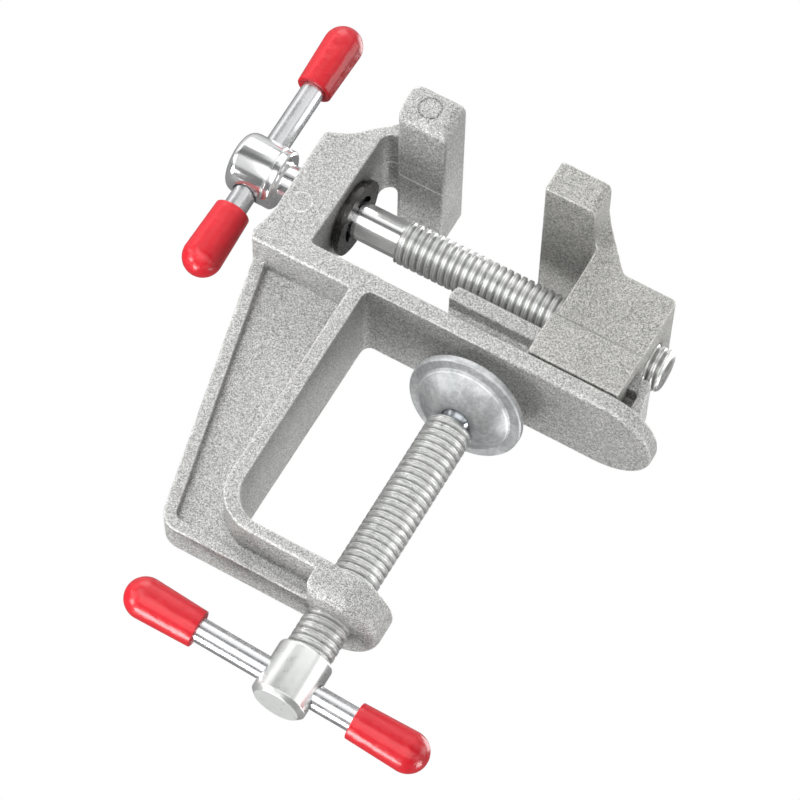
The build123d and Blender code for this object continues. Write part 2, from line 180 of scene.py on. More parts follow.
# Camera, with its turns in degrees about the upright, from looking straight down, and about its own view
CAMERA_LENS = 180.0
CAMERA_SENSOR = 36.0
CAMERA_CLIP = (0.01, 20)
CAMERA_PLACE = Vector((125.67, -556.19, -258.55))
CAMERA_SWING = 13.638
CAMERA_TILT = 113.476
CAMERA_ROLL = 32.648

# Soft boxes: name, (right, up, back) as the camera sees it, distance, side, power, mirrored in metal
LAMPS = (
    ("high_box", (-0.3, 0.6, 0.8), 0.85, 0.5, 2.7, False),
    ("high_left_box", (-0.5, 0.5, 0.7), 0.5, 0.3, 1.6, False),
    ("top_box", (0, 1, 0.05), 0.85, 0.5, 2.1, True),
    ("right_box", (1, 0, 0.05), 0.85, 0.5, 1.7, True),
    ("rim_box", (0.7, 0.2, -0.7), 0.85, 0.5, 3.0, True),
    ("left_box", (-0.9, -0.2, 0.33), 0.6, 0.2, 1.3, True),
    ("low_left_box", (-0.6, -0.75, 0.25), 0.6, 0.2, 1.8, True),
    ("low_right_box", (0.6, -0.8, 0), 0.5, 0.2, 1.05, True),
)
LAMP_AIM = Vector((-0.012, 0, -0.01))

# Mirrored studio: bright windows and dark screens as axis, from and to in degrees, softness, strength
WINDOWS = (("tilt", -52, -10, 3, 2.1), ("tilt", 26, 62, 8, 0.7))
SCREENS = (
    ("tilt", -4, 15, 3, 0.9),
    ("tilt", -92, -74, 3, 0.85),
    ("swing", 48, 60, 3, 0.7),
    ("swing", -52, -16, 3, 0.75),
)
MIRROR_TOWARD = (-0.2, -0.76, 0.6)
SOFT_LIGHT = 0.11
WHITE = (1, 1, 1, 1)

# Floor, in metres
FLOOR_HALF = 6.0
FLOOR_Z = -0.9


# Meshes


def link(name, mesh):
    """Object for a mesh, in the scene."""
    obj = bpy.data.objects.new(name, mesh)
    scene.collection.objects.link(obj)
    return obj


def smooth(mesh, crease=None):
    """Smooth shading, with edges sharper than the crease angle kept crisp."""
    mesh.polygons.foreach_set("use_smooth", [True] * len(mesh.polygons))
    if crease is not None:
        bm = bmesh.new()
        bm.from_mesh(mesh)
        for edge in bm.edges:
            if len(edge.link_faces) == 2:
                edge.smooth = edge.calc_face_angle() < math.radians(crease)
        bm.to_mesh(mesh)
        bm.free()
    mesh.update()


def arc(before, corner, after, radius, steps):
    """Points that round a corner off between its two neighbours."""
    a = (before - corner).normalized()
    b = (after - corner).normalized()
    half = a.angle(b) / 2
    centre = corner + (a + b).normalized() * (radius / math.sin(half))
    start = corner + a * (radius / math.tan(half)) - centre
    turn = math.pi - 2 * half
    side = 1 if a.x * b.y - a.y * b.x < 0 else -1
    points = []
    for k in range(steps + 1):
        angle = side * turn * k / steps
        cos, sin = math.cos(angle), math.sin(angle)
        points.append((centre.x + cos * start.x - sin * start.y, centre.y + sin * start.x + cos * start.y))
    return points


def rounded(corners, steps=6):
    """Path through (along, radius, rounding) corners, with arcs at the rounded ones."""
    path = []
    for i, (s, r, rounding) in enumerate(corners):
        if rounding == 0:
            path.append((s, r))
        else:
            before, after = Vector(corners[i - 1][:2]), Vector(corners[i + 1][:2])
            path += arc(before, Vector((s, r)), after, rounding, steps)
    return path


def sphere_path(radius, mouth_r, middle, steps):
    """Path from where a sphere has the mouth's radius, round to its far pole."""
    first = math.asin(mouth_r / radius)
    path = []
    for k in range(steps):
        angle = first + (math.pi - first) * k / steps
        path.append((middle - radius * math.cos(angle), radius * math.sin(angle)))
    return path + [(middle + radius, 0)]


def thread_path(start, end, crest):
    """Evenly spaced stations inside a threaded stretch."""
    count = round((end - start) / PITCH * STATIONS_PER_PITCH)
    return [(start + (end - start) * k / count, crest) for k in range(1, count)]


def helix(start, end, crest, fade_in=0.0):
    """Radius of a right-hand rounded thread that may fade in at its start."""

    def radius(s, r, angle):
        if not start <= s <= end or r < PLAIN_CORE_R:
            return r
        phase = (s / PITCH - angle / FULL_TURN) % 1
        valley = (abs(2 * phase - 1) - CREST_SHARE) / (VALLEY_SHARE - CREST_SHARE)
        fade = min((s - start) / fade_in, 1) if fade_in else 1
        return min(r, crest) - THREAD_DEPTH * min(max(valley, 0), 1) * fade

    return radius


def station(bm, s, r, segments, shape):
    """Ring of vertices at one station, or the single vertex of one on the axis."""
    if r == 0:
        return [bm.verts.new((0, 0, s))]
    ring = []
    for k in range(segments):
        angle = FULL_TURN * k / segments
        radius = shape(s, r, angle) if shape else r
        ring.append(bm.verts.new((radius * math.cos(angle), radius * math.sin(angle), s)))
    return ring


def bridge(bm, low, high, segments):
    """Faces between two neighbouring stations."""
    for k in range(segments):
        after = (k + 1) % segments
        if len(low) == 1:
            bm.faces.new((low[0], high[after], high[k]))
        elif len(high) == 1:
            bm.faces.new((low[k], low[after], high[0]))
        else:
            bm.faces.new((low[k], low[after], high[after], high[k]))


def turned(name, path, place, segments, shape=None):
    """Closed body turned from an (along, radius) path. shape(along, radius, angle) may change the radius."""
    bm = bmesh.new()
    rings = [station(bm, s, r, segments, shape) for s, r in path]
    for low, high in zip(rings, rings[1:]):
        bridge(bm, low, high, segments)
    bmesh.ops.recalc_face_normals(bm, faces=bm.faces)
    mesh = bpy.data.meshes.new(name)
    bm.to_mesh(mesh)
    bm.free()
    mesh.transform(Matrix.Scale(MM, 4) @ place)
    return link(name, mesh)


def apply_modifiers(obj):
    """Makes the modified shape the object's own mesh."""
    bpy.context.view_layer.update()
    graph = bpy.context.evaluated_depsgraph_get()
    mesh = bpy.data.meshes.new_from_object(obj.evaluated_get(graph))
    obj.modifiers.clear()
    obj.data = mesh


def drill(obj, place):
    """Takes the hole for a bar out of a screw's hub."""
    reach, radius = BAR_HOLE_REACH, BAR_HOLE_R
    cutter = turned("hole", [(-reach, 0), (-reach, radius), (reach, radius), (reach, 0)], place, segments=48)
    modifier = obj.modifiers.new("cut", "BOOLEAN")
    modifier.operation = "DIFFERENCE"
    modifier.solver = "EXACT"
    modifier.object = cutter
    apply_modifiers(obj)
    bpy.data.objects.remove(cutter)


def welded_copy(node):
    """Copy of a CAD node's mesh with its double vertices joined."""
    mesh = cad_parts[node].data.copy()
    bm = bmesh.new()
    bm.from_mesh(mesh)
    bmesh.ops.remove_doubles(bm, verts=bm.verts, dist=MM / 1000)
    bm.to_mesh(mesh)
    bm.free()
    return mesh


def softened(node, name, voxel):
    """Copy of a CAD node with the soft edges of a tumbled casting, inside the node's box."""
    obj = link(name, welded_copy(node))
    remesh = obj.modifiers.new("remesh", "REMESH")
    remesh.mode = "VOXEL"
    remesh.voxel_size = voxel * MM
    relax = obj.modifiers.new("relax", "SMOOTH")
    relax.factor = 0.5
    relax.iterations = CASTING_PASSES
    apply_modifiers(obj)
    low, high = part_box(node)
    for vertex in obj.data.vertices:
        vertex.co = [min(max(c, least), most) for c, least, most in zip(vertex.co, low, high)]
    smooth(obj.data)
    return obj


# Node trees

# Sockets of a mix node: factor, first, second and result
MIX_SOCKETS = {"FLOAT": (0, 2, 3, 0), "RGBA": (0, 6, 7, 2)}


class Nodes:
    """Builds a node tree with one short call for each step."""

    def __init__(self, tree):
        self.tree = tree
        tree.nodes.clear()

    def add(self, kind, settings=None, **inputs):
        """New node. An input's name has _ for each space."""
        node = self.tree.nodes.new(kind)
        for key, value in (settings or {}).items():
            setattr(node, key, value)
        for key, value in inputs.items():
            self.put(node.inputs[key.replace("_", " ")], value)
        return node

    def put(self, socket, value):
        """Links another node's output to a socket, or sets the socket to a plain value."""
        if isinstance(value, bpy.types.NodeSocket):
            self.tree.links.new(value, socket)
        else:
            socket.default_value = value

    def math(self, operation, a, b=0.0):
        """Result of one operation on one or two numbers."""
        node = self.add("ShaderNodeMath", {"operation": operation})
        self.put(node.inputs[0], a)
        self.put(node.inputs[1], b)
        return node.outputs[0]

    def plus(self, a, b):
        """Sum of two numbers."""
        return self.math("ADD", a, b)

    def minus(self, a, b):
        """Difference of two numbers."""
        return self.math("SUBTRACT", a, b)

    def times(self, a, b):
        """Product of two numbers."""
        return self.math("MULTIPLY", a, b)

    def apart(self, a, b):
        """Distance between two numbers."""
        return self.math("ABSOLUTE", self.minus(a, b))

    def weighted(self, base, *pairs):
        """A base number plus values, each times its weight."""
        total = base
        for value, weight in pairs:
            total = self.plus(total, self.times(value, weight))
        return total

    def ramp(self, value, low, high, start=0.0, end=1.0, kind="LINEAR"):
        """Number that goes from start to end as the value goes from low to high."""
        sockets = {"From_Min": low, "From_Max": high, "To_Min": start, "To_Max": end}
        return self.add("ShaderNodeMapRange", {"interpolation_type": kind}, Value=value, **sockets).outputs[0]

    def fade(self, value, low, high, start=0.0, end=1.0):
        """The same, with soft ends."""
        return self.ramp(value, low, high, start, end, "SMOOTHSTEP")

    def between(self, kind, factor, first, second):
        """What lies between two numbers or two colours."""
        node = self.add("ShaderNodeMix", {"data_type": kind})
        *places, result = MIX_SOCKETS[kind]
        for place, value in zip(places, (factor, first, second)):
            self.put(node.inputs[place], value)
        return node.outputs[result]

    def blend(self, factor, first, second):
        """Number between two numbers."""
        return self.between("FLOAT", factor, first, second)

    def mix(self, factor, first, second):
        """Colour between two colours."""
        return self.between("RGBA", factor, first, second)

    def vector(self, operation, a, b=(0, 0, 0)):
        """Result of one operation on vectors, which is a number for a length or a product."""
        node = self.add("ShaderNodeVectorMath", {"operation": operation})
        self.put(node.inputs[0], a)
        self.put(node.inputs[1], b)
        return node.outputs["Value" if operation in ("LENGTH", "DOT_PRODUCT") else "Vector"]

    def parts(self, vector):
        """The x, y and z of a vector."""
        return self.add("ShaderNodeSeparateXYZ", Vector=vector).outputs

    def mix_shader(self, factor, first, second):
        """Shader between two shaders."""
        node = self.add("ShaderNodeMixShader", Fac=factor)
        self.put(node.inputs[1], first)
        self.put(node.inputs[2], second)
        return node.outputs[0]


class Surface(Nodes):
    """New material, with its shader and the object's own coordinates."""

    def __init__(self, name, **sockets):
        self.material = bpy.data.materials.new(name)
        self.material.use_nodes = True
        super().__init__(self.material.node_tree)
        self.shader = self.add("ShaderNodeBsdfPrincipled", **sockets)
        self.add("ShaderNodeOutputMaterial", Surface=self.shader.outputs[0])
        coordinates = self.add("ShaderNodeTexCoord").outputs
        self.where = coordinates["Object"]
        self.facing = coordinates["Normal"]

    def noise(self, size, detail=3.0, rough=0.5, stretch=None):
        """Noise with features of a size in millimetres."""
        where = self.vector("MULTIPLY", self.where, stretch) if stretch else self.where
        sockets = {"Scale": 1 / (size * MM), "Detail": detail, "Roughness": rough}
        return self.add("ShaderNodeTexNoise", Vector=where, **sockets).outputs["Fac"]

    def cells(self, size):
        """One random grey for each grain."""
        node = self.add("ShaderNodeTexVoronoi", Scale=1 / (size * MM), Vector=self.where)
        return self.add("ShaderNodeSeparateColor", Color=node.outputs["Color"]).outputs[0]

    def pointiness(self):
        """More than a half on raised edges, less in hollows."""
        return self.add("ShaderNodeNewGeometry").outputs["Pointiness"]

    def bump(self, height, distance, strength=1.0, over=None):
        """Surface direction with a relief of some millimetres, over an earlier one where given."""
        node = self.add("ShaderNodeBump", Height=height, Distance=distance * MM, Strength=strength)
        if over is not None:
            self.put(node.inputs["Normal"], over)
        return node.outputs[0]

    def carve(self, mark, distance, strength, over):
        """Surface direction with marks sunk into an earlier one."""
        return self.bump(self.minus(1.0, mark), distance, strength, over)

    def finish(self, colour, roughness, normal):
        """Links what varies over the surface and gives the material."""
        for key, value in (("Base Color", colour), ("Roughness", roughness), ("Normal", normal)):
            self.put(self.shader.inputs[key], value)
        return self.material


# Cast aluminium


def ring_mark(surface, ring, facing_y):
    """1 on a thin ring about an axis along Y, on the faces that look along Y."""
    x, z, radius = ring
    away = surface.vector("SUBTRACT", surface.where, (x * MM, 0, z * MM))
    distance = surface.vector("LENGTH", surface.vector("MULTIPLY", away, (1, 0, 1)))
    off_ring = surface.apart(distance, radius * MM)
    line = surface.fade(off_ring, RING_WIDTH * MM / 2, RING_WIDTH * MM, start=1, end=0)
    return surface.times(line, surface.math("GREATER_THAN", surface.math("ABSOLUTE", facing_y), RING_FACE))


def mould_seam(surface, facing_x):
    """1 on the broken line that the mould's halves leave round the middle, fainter on end faces."""
    parts = surface.parts(surface.where)
    line = surface.fade(surface.math("ABSOLUTE", parts[1]), SEAM_HALF * MM, SEAM_FADE * MM, start=1, end=0)
    broken = surface.ramp(surface.noise(size=2.0), low=0.25, high=0.45, start=0.4)
    end_face = surface.math("GREATER_THAN", surface.math("ABSOLUTE", facing_x), SEAM_END_FACE)
    high = surface.math("GREATER_THAN", parts[2], SEAM_LOW_Z * MM)
    return surface.times(surface.times(line, broken), surface.times(high, surface.blend(end_face, 1.0, 0.25)))


def casting_material(name, tint, seam_light):
    """Tumbled cast aluminium: bright and dark grains on grey, painted shade in the hollows, and bright edges
    that are partly wear and partly painted highlight.
    """
    surface = Surface(name, Metallic=0.55)
    facing_x, facing_y, facing_z = surface.parts(surface.facing)
    under_face = surface.math("LESS_THAN", facing_z, UNDER_FACE)
    grain = surface.blend(under_face, surface.cells(GRAIN), surface.cells(UNDER_GRAIN))
    fine = surface.noise(size=GRAIN, detail=2.0, rough=0.6)
    blotch = surface.noise(size=0.6, detail=2.0)
    patch = surface.noise(size=7.0, detail=4.0, rough=0.6)
    edge_sharpness = surface.pointiness()
    # Raised edges get lighter, partly as wear and partly as a painted highlight; hollows get darker as
    # painted shade.
    edge = surface.fade(edge_sharpness, low=0.508, high=0.56)
    hollow_shade = surface.fade(edge_sharpness, low=0.495, high=0.45)
    jaw_ring = ring_mark(surface, JAW_RING, facing_y)
    worn = surface.ramp(patch, low=0.4, high=0.6, start=0.2)
    wall_ring = surface.times(ring_mark(surface, WALL_RING, facing_y), worn)
    grains = ((grain, 0.6), (fine, 0.24), (blotch, 0.03), (patch, 0.10))
    shape = ((edge, 0.24), (hollow_shade, -0.09), (mould_seam(surface, facing_x), seam_light))
    rings = ((jaw_ring, -0.2), (wall_ring, 0.42))
    level = surface.math("MAXIMUM", surface.weighted(BASE_LEVEL, *grains, *shape, *rings), DARKEST_LEVEL)
    colour = surface.add("ShaderNodeCombineColor")
    for socket, factor in zip(colour.inputs, tint):
        surface.put(socket, surface.times(level, factor))
    roughness = surface.weighted(0.46, (fine, 0.2), (edge, -0.1))
    normal = surface.bump(surface.weighted(0.0, (fine, 0.6), (grain, 0.5)), distance=0.085)
    normal = surface.bump(surface.noise(size=2.4), distance=0.08, strength=0.35, over=normal)
    grooves = surface.math("MAXIMUM", jaw_ring, surface.times(wall_ring, 0.5))
    normal = surface.carve(grooves, distance=0.12, strength=0.8, over=normal)
    return surface.finish(colour.outputs[0], roughness, normal)


# Steel


def polished_material():
    """Bright plated steel, turned smooth: a light haze, faint rings and a few scratches."""
    surface = Surface("polished_steel", Metallic=0.9)
    haze = surface.noise(size=3.0, rough=0.6)
    scratch = surface.noise(size=0.5, detail=4.0, rough=0.6, stretch=(1, 6, 6))
    colour = surface.mix(haze, (0.82, 0.83, 0.84, 1), (0.95, 0.95, 0.95, 1))
    roughness = surface.weighted(0.07, (scratch, 0.16))
    return surface.finish(colour, roughness, surface.bump(scratch, distance=0.008, strength=0.5))


def drawn_material(name, dark, light):
    """Drawn plated bar or ball: smudged, with fine marks."""
    surface = Surface(name, Metallic=0.92)
    haze = surface.noise(size=1.6, rough=0.6)
    marks = surface.noise(size=0.4, detail=4.0, rough=0.6)
    colour = surface.mix(haze, dark, light)
    roughness = surface.weighted(0.18, (haze, 0.16))
    return surface.finish(colour, roughness, surface.bump(marks, distance=0.012, strength=0.6))


def satin_material():
    """Zinc plate on the clamp screw's hub: clean bright plate, painted shade darkening the hollows, and a
    matt end.
    """
    surface = Surface("satin_steel")
    hollow_shade = surface.fade(surface.pointiness(), low=0.50, high=0.40)
    haze = surface.noise(size=1.2, detail=4.0, rough=0.65)
    grit = surface.noise(size=0.22, rough=0.7)
    clean = surface.mix(haze, (0.76, 0.78, 0.77, 1), (0.93, 0.94, 0.92, 1))
    shaded_grey = surface.mix(haze, (0.34, 0.35, 0.32, 1), (0.56, 0.57, 0.53, 1))
    # The hollows take the darker grey: painted shade.
    colour = surface.mix(surface.times(hollow_shade, 0.8), clean, shaded_grey)
    specks = surface.fade(grit, low=0.58, high=0.74, end=0.2)
    colour = surface.mix(specks, colour, (0.5, 0.51, 0.5, 1))
    end_face = surface.math("LESS_THAN", surface.parts(surface.facing)[2], CLAMP_END_FACE)
    surface.put(surface.shader.inputs["Metallic"], surface.blend(end_face, 0.84, 0.45))
    roughness = surface.weighted(0.2, (haze, 0.2))
    return surface.finish(colour, roughness, surface.bump(grit, distance=0.02, strength=0.6))


def lead_axes(surface):
    """Place along the lead screw, and the two across it that its turns are counted from."""
    x, y, z = surface.parts(surface.where)
    return x, y, surface.minus(LEAD_Z * MM, z)


def clamp_axes(surface):
    """The same for the clamp screw."""
    x, y, z = surface.parts(surface.where)
    return z, y, x


def roll_marks(surface, phase, weight):
    """Fine lines that the rolling dies leave along the thread: the weight on a mark."""
    strips = surface.times(phase, MARKS_PER_PITCH * MARK_LENGTH * MM)
    sockets = {"W": strips, "Scale": 1 / (MARK_LENGTH * MM), "Detail": 2.0}
    noise = surface.add("ShaderNodeTexNoise", {"noise_dimensions": "4D"}, Vector=surface.where, **sockets)
    return surface.fade(noise.outputs["Fac"], low=0.53, high=0.60, end=weight)


def thread_material(name, axes, mark_weight):
    """Rolled zinc-plated thread: bright crest with a fine seam, roll marks, and painted shade darkening the
    valley.
    """
    surface = Surface(name, Metallic=0.82)
    along, side, across = axes(surface)
    angle = surface.math("ARCTAN2", side, across)
    turns = surface.minus(surface.math("DIVIDE", along, PITCH * MM), surface.math("DIVIDE", angle, FULL_TURN))
    phase = surface.math("FRACT", turns)
    ridge = surface.apart(surface.times(phase, 2.0), 1.0)
    haze = surface.noise(size=1.2, detail=4.0, rough=0.65)
    grit = surface.noise(size=0.22, rough=0.7)
    # The valley is darkened towards the darker grey: painted shade in the thread's root.
    valley = surface.fade(surface.weighted(ridge, (haze, 0.2)), low=0.70, high=1.0, end=0.85)
    seam = surface.fade(surface.weighted(ridge, (grit, 0.08)), low=0.07, high=0.16, start=1, end=0)
    marks = roll_marks(surface, phase, mark_weight)
    specks = surface.fade(grit, low=0.58, high=0.70, end=0.45)
    clean = surface.mix(haze, (0.78, 0.79, 0.78, 1), (0.96, 0.96, 0.95, 1))
    shaded_grey = surface.mix(haze, (0.34, 0.345, 0.33, 1), (0.56, 0.565, 0.54, 1))
    colour = surface.mix(valley, clean, shaded_grey)
    colour = surface.mix(surface.times(seam, 0.7), colour, (0.36, 0.365, 0.35, 1))
    colour = surface.mix(marks, colour, (0.34, 0.35, 0.34, 1))
    colour = surface.mix(specks, colour, (0.36, 0.37, 0.35, 1))
    normal = surface.bump(grit, distance=0.03, strength=0.8)
    normal = surface.carve(seam, distance=0.05, strength=0.8, over=normal)
    normal = surface.carve(marks, distance=0.06, strength=1.0, over=normal)
    return surface.finish(colour, surface.weighted(0.2, (haze, 0.2)), normal)


def pad_axis_distance(surface):
    """Distance from the pad's own tilted axis."""
    tilt = math.radians(PAD_TILT)
    shift = (0, math.sin(tilt) * PIVOT_Z * MM, -math.cos(tilt) * PIVOT_Z * MM)
    upright = surface.add("ShaderNodeMapping", Vector=surface.where, Location=shift, Rotation=(tilt, 0, 0))
    return surface.vector("LENGTH", surface.vector("MULTIPLY", upright.outputs[0], (1, 1, 0)))


def pad_material():
    """Satin zinc with turning rings about the pad's axis, smudges, and a painted highlight along the step's
    edge.
    """
    surface = Surface("pad_steel", Metallic=0.62)
    distance = pad_axis_distance(surface)
    sockets = {"W": distance, "Scale": TURNING_LINES / MM, "Detail": 2.0}
    lines = surface.add("ShaderNodeTexNoise", {"noise_dimensions": "1D"}, **sockets)
    haze = surface.noise(size=2.5, detail=4.0, rough=0.6)
    grit = surface.noise(size=0.25, rough=0.7)
    patch = surface.noise(size=0.8, detail=4.0, rough=0.7)
    smudge = surface.fade(surface.weighted(0.0, (haze, 0.5), (patch, 0.5)), low=0.36, high=0.64)
    # A thin white line round the step's edge, broken by the haze: painted highlight.
    off_step = surface.apart(distance, PAD_STEP_R * MM)
    edge = surface.fade(off_step, STEP_HIGHLIGHT_HALF * MM, STEP_HIGHLIGHT_FADE * MM, start=0.7, end=0)
    edge = surface.times(edge, surface.ramp(haze, low=0.40, high=0.55, start=0.3))
    specks = surface.fade(grit, low=0.56, high=0.70, end=0.5)
    colour = surface.mix(smudge, (0.42, 0.435, 0.445, 1), (0.67, 0.68, 0.685, 1))
    colour = surface.mix(specks, colour, (0.30, 0.30, 0.30, 1))
    colour = surface.mix(edge, colour, (0.97, 0.98, 0.98, 1))
    normal = surface.bump(lines.outputs["Fac"], distance=0.012, strength=0.5)
    normal = surface.bump(grit, distance=0.035, strength=0.8, over=normal)
    return surface.finish(colour, surface.weighted(0.42, (haze, 0.16)), normal)


def black_material():
    """Blackened spring steel with a film of oil."""
    surface = Surface("black_steel", Metallic=0.6)
    smear = surface.noise(size=1.5, detail=4.0, rough=0.65)
    dents = surface.noise(size=0.8, detail=4.0, rough=0.6)
    colour = surface.mix(smear, (0.01, 0.01, 0.01, 1), (0.11, 0.105, 0.10, 1))
    roughness = surface.weighted(0.08, (smear, 0.36))
    return surface.finish(colour, roughness, surface.bump(dents, distance=0.14, strength=0.9))


# Red vinyl


def vinyl_material():
    """Glossy red dipped vinyl: slightly uneven, with fine dust."""
    surface = Surface(
        "red_vinyl",
        IOR=1.5,
        Coat_Weight=0.32,
        Coat_Roughness=0.1,
        Subsurface_Weight=0.08,
        Subsurface_Radius=(0.6 * MM, 0.1 * MM, 0.1 * MM),
    )
    uneven = surface.noise(size=3.5)
    dust = surface.noise(size=0.3, rough=0.7)
    dents = surface.noise(size=1.5, detail=2.0, rough=0.4)
    colour = surface.mix(uneven, (0.61, 0.006, 0.017, 1), (0.73, 0.013, 0.027, 1))
    colour = surface.mix(surface.fade(dust, low=0.66, high=0.74, end=0.22), colour, (0.9, 0.35, 0.35, 1))
    normal = surface.bump(dents, distance=0.2, strength=0.8)
    normal = surface.bump(dust, distance=0.02, strength=0.5, over=normal)
    return surface.finish(colour, surface.weighted(0.27, (dust, 0.14)), normal)


# Pieces


def dress(obj, looks, body, node):
    """Gives a piece its materials and its body, and hides the CAD node that it stands for."""
    obj.data.materials.clear()
    for look in looks:
        obj.data.materials.append(look)
    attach(obj, body)
    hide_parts(node)


def second_look(mesh, axis, start):
    """Puts the faces past a place along an axis on the second material."""
    for face in mesh.polygons:
        if face.center[axis] > start * MM:
            face.material_index = 1


def casting(node, name, voxel, look, body):
    """Soft-edged copy of one of the two castings."""
    obj = softened(node, name, voxel)
    dress(obj, [look], body, node)


def lead_hub_path():
    """Round-ended hub with its turned line, shank with the ring's groove, and the thread's relief."""
    line = LEAD_HUB_END - HUB_LINE_PLACE
    return rounded(
        [
            (LEAD_HUB_START, 0, 0),
            (LEAD_HUB_START, LEAD_HUB_R, LEAD_HUB_CROWN),
            (line - HUB_LINE_HALF, LEAD_HUB_R, HUB_LINE_EDGE),
            (line, LEAD_HUB_R - HUB_LINE_DEPTH, 0),
            (line + HUB_LINE_HALF, LEAD_HUB_R, HUB_LINE_EDGE),
            (LEAD_HUB_END, LEAD_HUB_R, LEAD_HUB_EDGE),
            (LEAD_HUB_END, LEAD_SHANK_R + SHANK_CHAMFER, 0),
            (LEAD_HUB_END + SHANK_CHAMFER, LEAD_SHANK_R, 0),
            (RING_GROOVE_START, LEAD_SHANK_R, 0),
            (RING_GROOVE_START, RING_GROOVE_R, 0),
            (RING_GROOVE_END, RING_GROOVE_R, 0),
            (RING_GROOVE_END, LEAD_SHANK_R, 0),
            (LEAD_THREAD_START - LEAD_RELIEF_LENGTH, LEAD_SHANK_R, 0),
            (LEAD_THREAD_START, LEAD_SHANK_R - LEAD_RELIEF_DEPTH, 0),
            (LEAD_THREAD_START + LEAD_THREAD_RISE, LEAD_THREAD_R, 0),
        ]
    )


def clamp_hub_path():
    """Hub with a chamfered end, up to the root of the thread."""
    return rounded(
        [
            (CLAMP_HUB_LOW, 0, 0),
            (CLAMP_HUB_LOW, CLAMP_HUB_R - CLAMP_CHAMFER_WIDTH, CLAMP_CHAMFER_EDGE),
            (CLAMP_HUB_LOW + CLAMP_CHAMFER_HEIGHT, CLAMP_HUB_R, CLAMP_CHAMFER_EDGE),
            (CLAMP_HUB_HIGH, CLAMP_HUB_R, CLAMP_HUB_EDGE),
            (CLAMP_HUB_HIGH, CLAMP_THREAD_R - THREAD_DEPTH, 0),
        ]
    )


def thread_end(end, crest, steps):
    """Rounded end of a thread."""
    return [(end - before, crest - loss) for before, loss in steps]


def screw(name, path, place, thread, hole_place):
    """Turned screw with a thread and a cross hole."""
    obj = turned(name, path, place, segments=80, shape=thread)
    drill(obj, hole_place)
    smooth(obj.data, SCREW_CREASE)
    return obj


def lead_screw(hole_place):
    """Lead screw: polished hub and shank, and a thread."""
    start = LEAD_THREAD_START + LEAD_THREAD_RISE
    end_path = thread_end(LEAD_THREAD_END, LEAD_THREAD_R, LEAD_END_STEPS)
    path = lead_hub_path() + thread_path(start, end_path[0][0], LEAD_THREAD_R) + end_path
    path += [(LEAD_THREAD_END, LEAD_END_FACE_R), (LEAD_THREAD_END, 0)]
    thread = helix(start, LEAD_THREAD_END - LEAD_THREAD_STOP, LEAD_THREAD_R, LEAD_THREAD_FADE)
    place = Matrix.Translation((0, 0, LEAD_Z)) @ Matrix.Rotation(math.pi / 2, 4, "Y")
    obj = screw("lead_screw_turned", path, place, thread, hole_place)
    dress(obj, [polished_look, lead_thread_look], "lead_screw", "lead_screw")
    second_look(obj.data, 0, LEAD_THREAD_START)


def clamp_screw(hole_place):
    """Clamp screw: satin hub, thread, and a bore for the ball's stem."""
    bore_floor = CLAMP_THREAD_TOP - CLAMP_BORE_DEPTH
    end_path = thread_end(CLAMP_THREAD_TOP, CLAMP_THREAD_R, CLAMP_END_STEPS)
    path = clamp_hub_path() + thread_path(CLAMP_HUB_HIGH, end_path[0][0], CLAMP_THREAD_R) + end_path
    path += [(CLAMP_THREAD_TOP, CLAMP_BORE_R), (bore_floor, CLAMP_BORE_R), (bore_floor, 0)]
    thread = helix(CLAMP_HUB_HIGH + CLAMP_THREAD_START, CLAMP_THREAD_TOP - CLAMP_THREAD_STOP, CLAMP_THREAD_R)
    obj = screw("clamp_screw_turned", path, Matrix.Identity(4), thread, hole_place)
    dress(obj, [satin_look, clamp_thread_look], "clamp_screw", "clamp_screw")
    second_look(obj.data, 2, CLAMP_HUB_HIGH)


def clamp_ball():
    """Ball on its stem."""
    stem = CLAMP_THREAD_TOP - BALL_STEM_DEPTH
    path = [(stem, 0), (stem, BALL_NECK_R)] + sphere_path(BALL_R, BALL_NECK_R, PIVOT_Z, steps=20)
    obj = turned("clamp_ball_turned", path, Matrix.Identity(4), segments=48)
    smooth(obj.data, BALL_CREASE)
    dress(obj, [ball_shaded_look], "clamp_swivel", "clamp_ball")


def dome_path(start, end, steps=18):
    """Slightly crowned flank of the pad's dome."""
    across = Vector((start.y - end.y, end.x - start.x)).normalized()
    path = []
    for k in range(steps + 1):
        t = k / steps
        path.append(tuple(start.lerp(end, t) + across * (PAD_DOME_CROWN * 4 * t * (1 - t))))
    return path


def clamp_pad():
    """Swivel pad: socket, dome, stepped flange and flat face."""
    mouth_s = -math.sqrt(SOCKET_R**2 - SOCKET_MOUTH_R**2)
    socket = sphere_path(SOCKET_R, SOCKET_MOUTH_R, 0, steps=14)
    lip = (mouth_s + SOCKET_LIP[0], SOCKET_MOUTH_R + SOCKET_LIP[1])
    dome_start = Vector((mouth_s, SOCKET_MOUTH_R + PAD_COLLAR))
    dome = dome_path(dome_start, Vector((PAD_STEP_S, PAD_STEP_R)))
    rim = rounded([(*dome[-1], 0), *PAD_RIM], steps=4)
    path = socket[::-1] + [lip] + dome + rim[1:] + [(PAD_FACE_S, PAD_FACE_R), (PAD_FACE_S, 0)]
    place = Matrix.Translation((0, 0, PIVOT_Z)) @ Matrix.Rotation(math.radians(-PAD_TILT), 4, "X")
    obj = turned("clamp_pad_turned", path, place, segments=96)
    smooth(obj.data, PAD_CREASE)
    dress(obj, [pad_look], "clamp_pad", "clamp_pad")


def bar(name, free, place, body, node):
    """Straight bar with chamfered ends, inside its caps."""
    end = free / 2 + BAR_IN_CAP
    half = [(end - BAR_CHAMFER, BAR_R), (end, BAR_R - BAR_CHAMFER), (end, 0)]
    obj = turned(name, [(-s, r) for s, r in half[::-1]] + half, place, segments=48)
    smooth(obj.data, BAR_CREASE)
    dress(obj, [bar_look], body, node)


